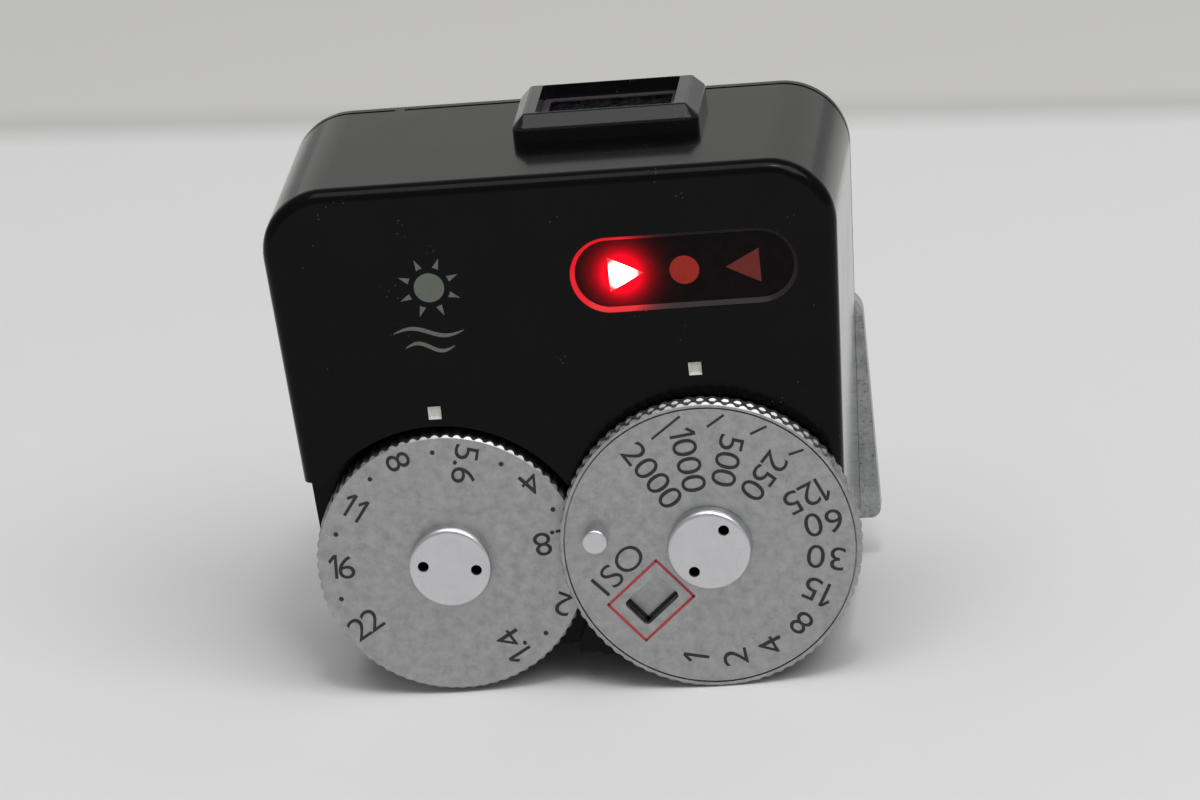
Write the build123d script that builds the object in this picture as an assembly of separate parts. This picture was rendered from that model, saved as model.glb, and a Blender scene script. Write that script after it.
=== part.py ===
"""Handheld exposure meter: a tapered box with two setting dials, a lamp window, a light cell and a shoe foot.

While the pieces are drawn, x runs to the right, y from the front face inwards and z upwards, with z = 0 at
the flat top of the body. build() then moves them all into the row frame: the front faces -Y, +Z is up and
the origin lies under the middle of the bounding box, at the height of the lowest dial rim.
All sizes are in millimetres.
"""

from build123d import *
import math
import os

# Body
BODY_WIDTH = 44.0
BODY_HEIGHT = 38.8
SIDE_TAPER = 0.061
TOP_CORNER = 5.0
BOTTOM_CORNER = 4.0
SHELL_DEPTH = 19.15
COVER_THICKNESS = 1.65
BODY_DEPTH = SHELL_DEPTH + COVER_THICKNESS
WALL = 1.5
FRONT_WALL = 1.6
FRONT_ROUND = 1.0
BACK_ROUND = 0.8
JOINT_SLOT = 0.35
JOINT_DEPTH = 0.7
JOINT_NIB_AT = -12.8
JOINT_NIB_WIDTH = 0.75
BEYOND = 2.0

# Fits
RUNNING_GAP = 0.05
GLUE_GAP = 0.02
STACK_GAP = 0.1

# Aperture dial, which sits in an open recess at the lower left
APERTURE_AT = (-9.96, -30.18)
APERTURE_RADIUS = 10.34
APERTURE_FACE = -0.26
APERTURE_THICKNESS = 2.6
APERTURE_BACK = APERTURE_FACE + APERTURE_THICKNESS
RECESS_AT = (-10.2, -30.6)
RECESS_RADIUS = 11.45
RECESS_DEPTH = 3.5
RECESS_SIDE = -0.9
RECESS_SHOULDER = -23.1
RECESS_FLOOR = RECESS_DEPTH + 1.5

# Shutter speed dial, which stands in front of the body at the lower right
SPEED_AT = (10.07, -29.38)
RING_RADIUS = 11.5
RING_FRONT = -2.1
RING_BACK = -0.45
RING_MIDDLE = (RING_FRONT + RING_BACK) / 2
RING_FLOOR = -0.75
FACE_RADIUS = 11.0
FACE_GAP = 0.12
FACE_BACK = -1.75
FACE_HUB = 3.6
LEDGE_RADIUS = 10.2
ISO_DISC_RADIUS = 10.0
ISO_DISC_THICKNESS = 0.25
ISO_WINDOW_ANGLE = 220.2
ISO_WINDOW_RADIUS = 6.3
ISO_WINDOW_LENGTH = 3.6
ISO_WINDOW_WIDTH = 2.5
ISO_WINDOW_CORNER = 0.35
POST_ANGLE = 171.4
POST_RADIUS = 8.66
POST_HEAD = 0.97
POST_STEM = 0.6
POST_HEIGHT = 1.3

# Knurled rims: a row of rounded beads
BEADS = 75
BEAD_DEPTH = 0.15
BEAD_SHARE = 0.46
RIM_CHAMFER = 0.18

# Hub caps, shafts and their electrical parts
SHAFT_RADIUS = 2.5
CAP_RADIUS = 3.2
CAP_THICKNESS = 1.1
CAP_ROUND = 0.4
CAP_HOLE_RADIUS = 0.42
CAP_HOLE_DEPTH = 0.7
CAP_HOLES_AT = 2.03
CAP_STEM = 1.2
CAP_STEM_LENGTH = 2.0
APERTURE_CAP_TURN = -7.5
SPEED_CAP_TURN = 51.7
WIPER_RADIUS = 5.2
WIPER_THICKNESS = 0.4
WIPER_HUB = 3.6
WIPER_ARM = 1.2
TRACK_INNER = 2.9
TRACK_OUTER = 7.0
TAG_NOTCH = 2.0
SPEED_BOSS_RADIUS = 4.6
SPEED_BOSS_BACK = 3.2
LEAF_RADIUS = 7.4
LEAF_WIDTH = 1.4
LEAF_SPAN = 70.0

# Lamp window and lamps
WINDOW_AT = (9.97, -8.07)
WINDOW_LENGTH = 17.2
WINDOW_HEIGHT = 5.95
WINDOW_SET_BACK = 0.4
WINDOW_EDGE = 0.06
WINDOW_BEVEL = 0.34
WINDOW_FLANGE = 0.9
WINDOW_BACK = 2.2
LAMP_PITCH = 4.4
LAMP_ROW = -8.15
ARROW_LENGTH = 2.6
ARROW_HEIGHT = 2.7
DOT_RADIUS = 1.12
GUIDE_BACK = 2.6
LAMP_BLOCK_FRONT = 2.7
LAMP_BORE = 1.75
LAMP_RADIUS = 1.5

# Index marks over the dials
INDEX_WIDTH = 1.0
INDEX_HEIGHT = 1.04
INDEX_DEPTH = 0.5
INDEX_DISH = 0.2
INDEX_DISH_DEPTH = 0.18
INDEX_SET_BACK = 0.02
APERTURE_INDEX_AT = (-9.96, -18.08)
SPEED_INDEX_AT = (10.07, -15.9)

# Light cell on top
FRAME_AT = (4.15, 13.05)
FRAME_LENGTH = 14.26
FRAME_DEPTH = 9.0
FRAME_WALL_HEIGHT = 1.13
FRAME_HEIGHT = 2.06
FRAME_CORNER = 1.0
WELL_CORNER = 0.3
FRAME_EDGE_ROUND = 0.35
WELL_LENGTH = 10.6
WELL_DEPTH = 6.8
LEDGE = 0.6
LENS_BOTTOM = 0.3
LENS_TOP = 0.95
LENS_GRAIN = 0.62
SPIGOT_LENGTH = 12.4
SPIGOT_DEPTH = 7.9
SPIGOT_DROP = 1.5
CELL_SIZE = (8.4, 5.0, 1.2)
CELL_BOARD = (12.6, 8.4, 0.8)

# Circuit board
BOARD_FRONT = 7.0
BOARD_BACK = 8.0
BOARD_CLEARANCE = 0.6
BOARD_POSTS = ((-0.6, -15.2), (-17.0, -17.2))
POST_OUTER = 1.6
POST_BORE = 0.65
CHIP_AT = (7.4, -15.6)
CHIP_SIZE = (6.4, 4.4, 1.4)
CHIP_PINS = 4
CHIP_PIN_PITCH = 1.27
CHIP_PIN_SIZE = (0.4, 0.9, 0.25)
TRIMMERS_AT = ((14.6, -15.0), (14.6, -19.0))
TRIMMER_RADIUS = 1.6
TRIMMER_HEIGHT = 1.5

# Measuring button in the left wall
BUTTON_AT = (13.0, -21.0)
BUTTON_RADIUS = 2.6
BUTTON_PROUD = 0.6
BUTTON_TRAVEL = 0.4
BUTTON_FLANGE = 3.2
BUTTON_ROUND = 0.3
SWITCH_BODY = (3.2, 4.6, 4.6)
PLUNGER_RADIUS = 1.1
PLUNGER_LENGTH = 1.6

# Battery compartment, opened from the back
BATTERY_AT = (-10.5, -10.9)
CELL_RADIUS = 5.8
CELL_LENGTH = 5.4
CELL_POLE_RADIUS = 4.4
CELL_POLE_STEP = 0.35
CELL_START = 9.0
HOLDER_INNER = 5.95
HOLDER_OUTER = 6.85
HOLDER_FRONT = 8.1
HOLDER_FLOOR = 8.7
CONTACT_THICKNESS = 0.2
CONTACT_RADIUS = 4.2
CAP_DISC_RADIUS = 6.3
CAP_DISC_INNER = 19.9
COIN_SLOT_WIDTH = 1.3
COIN_SLOT_DEPTH = 0.5
COIN_SLOT_LENGTH = 9.0

# Cover screws and the bosses that take them
BOSS_RADIUS = 2.2
BOSS_BORE = 0.7
BOSS_FRONT = 8.5
TOP_BOSS = (18.3, -3.7)
BOTTOM_BOSS = (16.3, -35.3)
SCREW_HEAD = 1.6
SCREW_HEAD_HEIGHT = 0.9
SCREW_SHANK = 0.85
SCREW_THREAD = 0.68
SCREW_LENGTH = 6.0
CROSS_LENGTH = 1.8
CROSS_WIDTH = 0.4
CROSS_DEPTH = 0.5
LIP_DEPTH = 1.2
LIP_THICKNESS = 0.9

# Shoe foot of folded sheet metal, set to the right
FOOT_WIDTH = 18.6
FOOT_RIGHT = 21.2
FOOT_TOP = -18.7
FOOT_BOTTOM = -37.2
FOOT_SHEET = 1.5
FOOT_GAP = 1.6
FOOT_TIP = 1.6
FOOT_TIP_BEND = 0.55
FOOT_CORNER = 1.6
FOOT_MIDDLE = FOOT_RIGHT - FOOT_WIDTH / 2
SPACER_WIDTH = 12.0
SPACER_TOP = -21.2
SPACER_BOTTOM = -32.8
FOOT_SCREWS = (-24.0, -30.0)
FOOT_SCREW_HEAD = 2.0
FOOT_SCREW_SHANK = 1.0
NUT_PLATE = (7.0, 10.0, 1.1)

# The row frame
LOWEST = SPEED_AT[1] - RING_RADIUS
FRONTMOST = RING_FRONT - POST_HEIGHT
BACKMOST = BODY_DEPTH + FOOT_GAP + FOOT_SHEET + FOOT_TIP_BEND
ROW_SHIFT = (0.0, -(FRONTMOST + BACKMOST) / 2, -LOWEST)


def slab(sketch, front, back):
    """An outline drawn in x and z as a solid between two depths."""
    plane = Plane(origin=(0, back, 0), x_dir=(1, 0, 0), z_dir=(0, -1, 0))
    return extrude(plane * sketch, amount=back - front, dir=(0, -1, 0))


def dish(mouth, floor, front, back):
    """A hollow that narrows from one outline at the front to a smaller one further in."""
    across = {"x_dir": (1, 0, 0), "z_dir": (0, -1, 0)}
    return loft([Plane(origin=(0, front, 0), **across) * mouth, Plane(origin=(0, back, 0), **across) * floor])


def disc(at, radius, front, back):
    """A round solid whose axis runs front to back."""
    return slab(Pos(*at) * Circle(radius), front, back)


def tube(at, outer, inner, front, back):
    """A round solid with a round bore."""
    return slab(Pos(*at) * (Circle(outer) - Circle(inner)), front, back)


def block(size, middle):
    """A box of the given size about its middle."""
    return Pos(*middle) * Box(*size)


def on_circle(at, radius, angle):
    """A point in x and z at an angle in degrees, counted anticlockwise from the right."""
    turn = math.radians(angle)
    return (at[0] + radius * math.cos(turn), at[1] + radius * math.sin(turn))


def body_outline():
    """The front view of the body: a box that narrows downwards, with large upper corners."""
    top = BODY_WIDTH / 2
    bottom = top - SIDE_TAPER * BODY_HEIGHT
    corners = [(-top, 0), (top, 0), (bottom, -BODY_HEIGHT), (-bottom, -BODY_HEIGHT)]
    outline = Polygon(*corners, align=None)
    upper = outline.vertices().filter_by_position(Axis.Y, -1, 1)
    outline = fillet(upper, TOP_CORNER)
    lower = outline.vertices().filter_by_position(Axis.Y, -BODY_HEIGHT - 1, 1 - BODY_HEIGHT)
    return fillet(lower, BOTTOM_CORNER)


def wall_x(z):
    """How far the side wall stands from the middle plane at a height."""
    return BODY_WIDTH / 2 + SIDE_TAPER * z


def boss_places():
    """The four screw bosses, two near the top corners and two near the bottom corners."""
    return [(side * x, z) for x, z in (TOP_BOSS, BOTTOM_BOSS) for side in (-1, 1)]


def recess_outline(margin=0.0):
    """The open recess of the aperture dial: round above, and cut away to the left and below."""
    round_part = Pos(*RECESS_AT) * Circle(RECESS_RADIUS + margin)
    left = RECESS_AT[0] - RECESS_RADIUS - BEYOND
    right = RECESS_SIDE + margin
    low = -BODY_HEIGHT - BEYOND
    high = RECESS_AT[1]
    middle = ((left + right) / 2, (low + high) / 2)
    cut = round_part + Pos(*middle) * Rectangle(right - left, high - low)
    shoulder = RECESS_SHOULDER + margin
    beside = ((left + RECESS_AT[0]) / 2, (low + shoulder) / 2)
    return cut + Pos(*beside) * Rectangle(RECESS_AT[0] - left, shoulder - low)


def window_outline(margin=0.0):
    """The lamp window, a slot with round ends."""
    return Pos(*WINDOW_AT) * SlotOverall(WINDOW_LENGTH + 2 * margin, WINDOW_HEIGHT + 2 * margin)


def rounded_box(length, depth, corner, bottom, top, middle=FRAME_AT):
    """An upright rectangular prism with rounded corners on the flat top."""
    sketch = RectangleRounded(length, depth, corner)
    return extrude(Pos(middle[0], middle[1], bottom) * sketch, amount=top - bottom, dir=(0, 0, 1))


def front_housing():
    """The shell: front, sides, top and bottom in one piece, open at the back."""
    outline = body_outline()
    outer = slab(outline, 0, SHELL_DEPTH)
    outer = fillet(outer.edges().filter_by_position(Axis.Y, -0.01, 0.01), FRONT_ROUND)
    hollow = slab(offset(outline, -WALL), FRONT_WALL, SHELL_DEPTH + BEYOND)
    shell = outer - hollow
    casing = slab(recess_outline(WALL) & offset(outline, -WALL / 2), FRONT_WALL / 2, RECESS_FLOOR)
    shell = shell + casing - slab(recess_outline(), -BEYOND, RECESS_DEPTH)
    for place in boss_places():
        shell = shell + disc(place, BOSS_RADIUS, BOSS_FRONT, SHELL_DEPTH)
        shell = shell - disc(place, BOSS_BORE, SHELL_DEPTH - SCREW_LENGTH, SHELL_DEPTH + 1)
    for place in BOARD_POSTS:
        shell = shell + disc(place, POST_OUTER, FRONT_WALL / 2, BOARD_FRONT)
        shell = shell - disc(place, POST_BORE, FRONT_WALL + 1, BOARD_FRONT + 1)
    shell = shell + disc(SPEED_AT, SPEED_BOSS_RADIUS, FRONT_WALL / 2, SPEED_BOSS_BACK)
    shell = shell - disc(SPEED_AT, SHAFT_RADIUS + RUNNING_GAP, -1, SPEED_BOSS_BACK + 1)
    shell = shell - disc(APERTURE_AT, SHAFT_RADIUS + RUNNING_GAP, 0, RECESS_FLOOR + 1)
    shell = shell - slab(window_outline(), -1, FRONT_WALL + 1)
    for place in (APERTURE_INDEX_AT, SPEED_INDEX_AT):
        shell = shell - slab(Pos(*place) * Rectangle(INDEX_WIDTH, INDEX_HEIGHT), -1, INDEX_DEPTH)
    shell = shell - rounded_box(SPIGOT_LENGTH, SPIGOT_DEPTH, FRAME_CORNER, -WALL - 1, 1)
    depth, height = BUTTON_AT
    bore = Pos(-BODY_WIDTH / 2, depth, height) * Rot(0, 90, 0)
    shell = shell - bore * Cylinder(BUTTON_RADIUS + RUNNING_GAP, 4 * WALL)
    return shell


def back_cover():
    """The rear plate: a slot round its joint, a lip that enters the shell and a hole for the battery cap."""
    outline = body_outline()
    plate = slab(outline, SHELL_DEPTH + JOINT_SLOT, BODY_DEPTH)
    rim = plate.edges().filter_by_position(Axis.Y, BODY_DEPTH - 0.01, BODY_DEPTH + 0.01)
    plate = fillet(rim, BACK_ROUND)
    plate = plate + slab(offset(outline, -JOINT_DEPTH), SHELL_DEPTH, SHELL_DEPTH + JOINT_SLOT + 0.1)
    nib = (JOINT_NIB_AT, SHELL_DEPTH + JOINT_SLOT / 2, -JOINT_DEPTH / 2)
    plate = plate + block((JOINT_NIB_WIDTH, JOINT_SLOT, JOINT_DEPTH), nib)
    inside = WALL + STACK_GAP
    lip = offset(outline, -inside) - offset(outline, -inside - LIP_THICKNESS)
    plate = plate + slab(lip, SHELL_DEPTH - LIP_DEPTH, SHELL_DEPTH + 0.1)
    for place in boss_places():
        plate = plate - disc(place, BOSS_RADIUS + STACK_GAP, SHELL_DEPTH - LIP_DEPTH - 1, SHELL_DEPTH)
        plate = plate - screw_space(place)
    plate = plate - disc(BATTERY_AT, CAP_DISC_RADIUS + RUNNING_GAP, SHELL_DEPTH - 1, BODY_DEPTH + 1)
    for z in FOOT_SCREWS:
        plate = plate - disc((FOOT_MIDDLE, z), FOOT_SCREW_SHANK, SHELL_DEPTH - 1, BODY_DEPTH + 1)
    return plate


def lathe(at, points):
    """A turned solid about the front-to-back axis through at, from points of radius and depth."""
    face = make_face(Polyline(*points, close=True))
    solid = revolve(Plane.XY * face, Axis.Y)
    return Pos(at[0], 0, at[1]) * solid


def screw_space(place, slack=GLUE_GAP):
    """The countersunk hole of a cover screw."""
    head, shank = SCREW_HEAD + slack, SCREW_SHANK + slack
    seat = BODY_DEPTH - SCREW_HEAD_HEIGHT
    points = [(0, BODY_DEPTH + 0.1), (head, BODY_DEPTH + 0.1), (head, BODY_DEPTH), (shank, seat)]
    return lathe(place, points + [(shank, SHELL_DEPTH - 0.5), (0, SHELL_DEPTH - 0.5)])


def cross_cut(place, depth):
    """The cross recess in a screw head whose top lies at a depth."""
    cut = Rectangle(CROSS_LENGTH, CROSS_WIDTH) + Rectangle(CROSS_WIDTH, CROSS_LENGTH)
    return slab(Pos(*place) * cut, depth - CROSS_DEPTH, depth + 1)


def cover_screws():
    """Four countersunk screws that hold the back cover to the shell's bosses."""
    seat = BODY_DEPTH - SCREW_HEAD_HEIGHT
    tip = BODY_DEPTH - SCREW_LENGTH
    made = []
    for place in boss_places():
        points = [(0, BODY_DEPTH), (SCREW_HEAD, BODY_DEPTH), (SCREW_SHANK, seat)]
        points += [(SCREW_SHANK, SHELL_DEPTH), (SCREW_THREAD, SHELL_DEPTH), (SCREW_THREAD, tip), (0, tip)]
        made.append(lathe(place, points) - cross_cut(place, BODY_DEPTH))
    return made


def beaded_disc(at, radius, front, back, turn=0):
    """A disc with a rim of rounded beads and slightly chamfered edges, its beads turned by an angle."""
    bead = math.pi * radius / BEADS * 2 * BEAD_SHARE
    places = PolarLocations(radius - bead, BEADS, turn)
    outline = Circle(radius - BEAD_DEPTH) + [place * Circle(bead) for place in places]
    solid = slab(Pos(*at) * outline, front, back)
    edge = radius - RIM_CHAMFER
    points = [(0, front), (edge, front), (radius, front + RIM_CHAMFER)]
    points += [(radius, back - RIM_CHAMFER), (edge, back), (0, back)]
    return solid & lathe(at, points)


def aperture_dial():
    """The left dial: one beaded disc with a plain face and a bore for its shaft."""
    solid = beaded_disc(APERTURE_AT, APERTURE_RADIUS, APERTURE_FACE, APERTURE_BACK)
    return solid - disc(APERTURE_AT, SHAFT_RADIUS, APERTURE_FACE - 1, APERTURE_BACK + 1)


def hub_cap(at, seat, turn):
    """A round retaining cap with two spanner holes and a stem that screws into the shaft."""
    front = seat - CAP_THICKNESS
    cap = disc(at, CAP_RADIUS, front, seat)
    cap = fillet(cap.edges().filter_by_position(Axis.Y, front - 0.01, front + 0.01), CAP_ROUND)
    for angle in (turn, turn + 180):
        hole = on_circle(at, CAP_HOLES_AT, angle)
        cap = cap - disc(hole, CAP_HOLE_RADIUS, front - 1, front + CAP_HOLE_DEPTH)
    return cap + disc(at, CAP_STEM, seat, seat + CAP_STEM_LENGTH)


def dial_shaft(at, front, back):
    """A turned shaft with a threaded bore in its front end."""
    shaft = disc(at, SHAFT_RADIUS, front, back)
    return shaft - disc(at, CAP_STEM, front - 1, front + CAP_STEM_LENGTH + STACK_GAP)


def wiper(at, front):
    """A sheet hub with three arms that brush the resistor track."""
    sketch = Circle(WIPER_HUB)
    for angle in range(0, 360, 120):
        sketch = sketch + Rot(0, 0, angle) * Pos(WIPER_RADIUS / 2, 0) * Rectangle(WIPER_RADIUS, WIPER_ARM)
    return slab(Pos(*at) * (sketch - Circle(SHAFT_RADIUS)), front, front + WIPER_THICKNESS)


def leaf_spring(at, front, back, bump):
    """A click spring: a flat arc of sheet with a round bump in the middle that rubs on the dial's back."""
    start = 90 - LEAF_SPAN / 2
    ring = Circle(LEAF_RADIUS + LEAF_WIDTH / 2) - Circle(LEAF_RADIUS - LEAF_WIDTH / 2)
    reach = 2 * LEAF_RADIUS
    ends = [(reach * math.cos(math.radians(a)), reach * math.sin(math.radians(a))) for a in
            (start, start + LEAF_SPAN)]
    sector = Polygon((0, 0), *ends, align=None)
    strip = slab(Pos(*at) * (ring & sector), front, back)
    top = on_circle(at, LEAF_RADIUS, 90)
    return strip + disc(top, LEAF_WIDTH / 4, front - bump, front)


def speed_ring():
    """The ring of the right dial: a cup with two staggered rows of beads and a ledge under the face."""
    solid = beaded_disc(SPEED_AT, RING_RADIUS, RING_FRONT, RING_MIDDLE)
    solid = solid + beaded_disc(SPEED_AT, RING_RADIUS, RING_MIDDLE, RING_BACK, 180 / BEADS)
    solid = solid - disc(SPEED_AT, FACE_RADIUS + FACE_GAP, RING_FRONT - 1, FACE_BACK + RUNNING_GAP)
    solid = solid - disc(SPEED_AT, LEDGE_RADIUS, FACE_BACK, RING_FLOOR)
    return solid - disc(SPEED_AT, SHAFT_RADIUS, RING_FLOOR - 1, RING_BACK + 1)


def iso_scale_disc():
    """The thin disc with the film speeds, seen through the window in the face."""
    return tube(SPEED_AT, ISO_DISC_RADIUS, SHAFT_RADIUS, RING_FLOOR - ISO_DISC_THICKNESS, RING_FLOOR)


def speed_face():
    """The thin face of the right dial: a hub behind, the film speed window and the hole for the post."""
    bore = SHAFT_RADIUS + RUNNING_GAP
    face = tube(SPEED_AT, FACE_RADIUS, bore, RING_FRONT, FACE_BACK)
    face = face + tube(SPEED_AT, FACE_HUB, bore, FACE_BACK, RING_FLOOR - ISO_DISC_THICKNESS - RUNNING_GAP)
    middle = on_circle(SPEED_AT, ISO_WINDOW_RADIUS, ISO_WINDOW_ANGLE)
    window = RectangleRounded(ISO_WINDOW_LENGTH, ISO_WINDOW_WIDTH, ISO_WINDOW_CORNER)
    face = face - slab(Pos(*middle) * Rot(0, 0, ISO_WINDOW_ANGLE) * window, RING_FRONT - 1, FACE_BACK + 1)
    return face - disc(on_circle(SPEED_AT, POST_RADIUS, POST_ANGLE), POST_STEM, RING_FRONT - 1, FACE_BACK + 1)


def iso_post():
    """The small post on the face that a finger holds while the ring is turned."""
    at = on_circle(SPEED_AT, POST_RADIUS, POST_ANGLE)
    front = RING_FRONT - POST_HEIGHT
    head = disc(at, POST_HEAD, front, RING_FRONT)
    head = fillet(head.edges().filter_by_position(Axis.Y, front - 0.01, front + 0.01), CAP_ROUND / 2)
    return head + disc(at, POST_STEM, RING_FRONT, FACE_BACK)


def lamp_x(step):
    """The x of a lamp: -1, 0 or 1 steps from the middle of the window."""
    return WINDOW_AT[0] + step * LAMP_PITCH


def lamp_outline(step):
    """The lit sign of a lamp: an arrow pointing inwards at each end, and a dot between them."""
    if step == 0:
        return Pos(lamp_x(step), LAMP_ROW) * Circle(DOT_RADIUS)
    back = lamp_x(step) + step * ARROW_LENGTH / 2
    tip = lamp_x(step) - step * ARROW_LENGTH / 2
    half = ARROW_HEIGHT / 2
    points = [(back, LAMP_ROW - half), (back, LAMP_ROW + half), (tip, LAMP_ROW)]
    return Polygon(*points, align=None)


def led_window():
    """The dark clear window, let into the front from behind: a bevelled rim and openings for the signs."""
    window = slab(window_outline(-GLUE_GAP), WINDOW_EDGE, FRONT_WALL)
    window = window + slab(window_outline(WINDOW_FLANGE), FRONT_WALL, WINDOW_BACK)
    rim, floor = window_outline(-GLUE_GAP), window_outline(-WINDOW_BEVEL)
    window = window - dish(rim, floor, WINDOW_EDGE, WINDOW_SET_BACK)
    for step in (-1, 0, 1):
        window = window - slab(lamp_outline(step), WINDOW_SET_BACK - 1, WINDOW_BACK + 1)
    return window


def lamp_sign(step):
    """The light guide that fills one sign in the window."""
    return slab(lamp_outline(step), WINDOW_SET_BACK, GUIDE_BACK)


def lamp_block():
    """The opaque block behind the window, with one bore for each lamp."""
    block_outline = Pos(*WINDOW_AT) * RectangleRounded(WINDOW_LENGTH, WINDOW_HEIGHT, 1)
    solid = slab(block_outline, LAMP_BLOCK_FRONT, BOARD_FRONT)
    for step in (-1, 0, 1):
        solid = solid - disc((lamp_x(step), LAMP_ROW), LAMP_BORE, LAMP_BLOCK_FRONT - 1, BOARD_FRONT + 1)
    return solid


def lamps():
    """Three round-nosed light-emitting diodes standing on the circuit board."""
    nose = LAMP_BLOCK_FRONT + 1
    made = []
    for step in (-1, 0, 1):
        lamp = disc((lamp_x(step), LAMP_ROW), LAMP_RADIUS, nose, BOARD_FRONT)
        tip = lamp.edges().filter_by_position(Axis.Y, nose - 0.01, nose + 0.01)
        made.append(fillet(tip, LAMP_RADIUS * 0.9))
    return made


def index_mark(place):
    """A pale dished mark let into the front above a dial."""
    mouth = Pos(*place) * Rectangle(INDEX_WIDTH - GLUE_GAP, INDEX_HEIGHT - GLUE_GAP)
    floor = Pos(*place) * Rectangle(INDEX_WIDTH - 2 * INDEX_DISH, INDEX_HEIGHT - 2 * INDEX_DISH)
    mark = slab(mouth, INDEX_SET_BACK, INDEX_DEPTH)
    return mark - dish(mouth, floor, INDEX_SET_BACK, INDEX_DISH_DEPTH)


def sensor_frame():
    """The raised frame round the light cell, bevelled on its outside, with a spigot into the top wall."""
    base = rounded_box(FRAME_LENGTH, FRAME_DEPTH, FRAME_CORNER, 0, FRAME_HEIGHT)
    rim = base.edges().filter_by_position(Axis.Z, FRAME_HEIGHT - 0.01, FRAME_HEIGHT + 0.01)
    base = chamfer(rim, FRAME_HEIGHT - FRAME_WALL_HEIGHT)
    for height in (FRAME_WALL_HEIGHT, FRAME_HEIGHT):
        edge = base.edges().filter_by_position(Axis.Z, height - 0.01, height + 0.01)
        base = fillet(edge, FRAME_EDGE_ROUND)
    spigot = rounded_box(SPIGOT_LENGTH - 2 * GLUE_GAP, SPIGOT_DEPTH - 2 * GLUE_GAP, FRAME_CORNER, -SPIGOT_DROP, 0)
    well = rounded_box(WELL_LENGTH, WELL_DEPTH, WELL_CORNER, LENS_BOTTOM, FRAME_HEIGHT + 1)
    throat = rounded_box(WELL_LENGTH - 2 * LEDGE, WELL_DEPTH - 2 * LEDGE, WELL_CORNER, -SPIGOT_DROP - 1, 1)
    return base + spigot - well - throat


def sensor_lens():
    """The diffusing window of the light cell: a plate with a raised border and a grid of low pebbles."""
    gap = 2 * GLUE_GAP
    plate = rounded_box(WELL_LENGTH - gap, WELL_DEPTH - gap, WELL_CORNER, LENS_BOTTOM, LENS_TOP)
    inner_length, inner_depth = WELL_LENGTH - 2 * LEDGE, WELL_DEPTH - 2 * LEDGE
    plate = plate - rounded_box(inner_length, inner_depth, WELL_CORNER, LENS_GRAIN, LENS_TOP + 1)
    return plate


def photocell():
    """The silicon cell under the lens, in the throat of the frame."""
    return block(CELL_SIZE, (*FRAME_AT, CELL_SIZE[2] / 2 - SPIGOT_DROP))


def photocell_board():
    """The small board that carries the cell below the top wall."""
    return block(CELL_BOARD, (*FRAME_AT, -SPIGOT_DROP - CELL_BOARD[2] / 2))


def circuit_board():
    """The main board, which fills the shell in front of the screw bosses."""
    sketch = offset(body_outline(), -WALL - BOARD_CLEARANCE)
    for place in BOARD_POSTS:
        sketch = sketch - Pos(*place) * Circle(SCREW_SHANK)
    return slab(sketch, BOARD_FRONT, BOARD_BACK)


def board_screws():
    """Two pan-head screws that hold the board to its posts."""
    made = []
    for place in BOARD_POSTS:
        screw = disc(place, SCREW_HEAD, BOARD_BACK, BOARD_BACK + SCREW_HEAD_HEIGHT)
        screw = screw + disc(place, POST_BORE - GLUE_GAP, FRONT_WALL + 2, BOARD_BACK)
        made.append(screw - cross_cut(place, BOARD_BACK + SCREW_HEAD_HEIGHT))
    return made


def meter_chip():
    """The comparator chip with its two rows of leads."""
    length, height, thickness = CHIP_SIZE
    pin_width, pin_length, pin_thickness = CHIP_PIN_SIZE
    middle = BOARD_BACK + thickness / 2
    chip = block((length, thickness, height), (CHIP_AT[0], middle, CHIP_AT[1]))
    for side in (-1, 1):
        for pin in range(CHIP_PINS):
            x = CHIP_AT[0] + (pin - (CHIP_PINS - 1) / 2) * CHIP_PIN_PITCH
            z = CHIP_AT[1] + side * (height + pin_length) / 2
            lead = (pin_width, pin_thickness, pin_length)
            chip = chip + block(lead, (x, BOARD_BACK + pin_thickness / 2, z))
    return chip


def trimmers():
    """Two adjusting resistors with slotted tops."""
    made = []
    top = BOARD_BACK + TRIMMER_HEIGHT
    for place in TRIMMERS_AT:
        slot = slab(Pos(*place) * Rectangle(2 * TRIMMER_RADIUS - 1, CROSS_WIDTH), top - CROSS_DEPTH, top + 1)
        made.append(disc(place, TRIMMER_RADIUS, BOARD_BACK, top) - slot)
    return made


def resistor_track(at, front):
    """The ring on the board that carries a dial's resistance track, notched for its solder tags."""
    ring = tube(at, TRACK_OUTER, TRACK_INNER, front, BOARD_FRONT)
    middle = (at[0], BOARD_FRONT, at[1] - TRACK_OUTER)
    return ring - block((TAG_NOTCH, TAG_NOTCH, TAG_NOTCH), middle)


def along_wall(shape_x, depth, height):
    """The place of a round piece whose axis runs left to right."""
    return Pos(shape_x, depth, height) * Rot(0, 90, 0)


def measuring_button():
    """The button in the left wall: a domed cap and an inner flange that stops it falling out."""
    depth, height = BUTTON_AT
    outside = -wall_x(height) - BUTTON_PROUD
    stop = -wall_x(height) + WALL + 2 * SIDE_TAPER * BUTTON_FLANGE
    cap = along_wall((outside + stop) / 2, depth, height) * Cylinder(BUTTON_RADIUS, stop - outside)
    cap = fillet(cap.edges().filter_by_position(Axis.X, outside - 0.01, outside + 0.01), BUTTON_ROUND)
    flange_middle = stop + WALL / 4
    return cap + along_wall(flange_middle, depth, height) * Cylinder(BUTTON_FLANGE, WALL / 2)


def button_inner_face():
    """The x of the button's inner end."""
    return -wall_x(BUTTON_AT[1]) + WALL + 2 * SIDE_TAPER * BUTTON_FLANGE + WALL / 2


def switch_plunger():
    """The plunger of the switch, which the button pushes."""
    start = button_inner_face()
    middle = start + PLUNGER_LENGTH / 2
    return along_wall(middle, *BUTTON_AT) * Cylinder(PLUNGER_RADIUS, PLUNGER_LENGTH)


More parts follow.
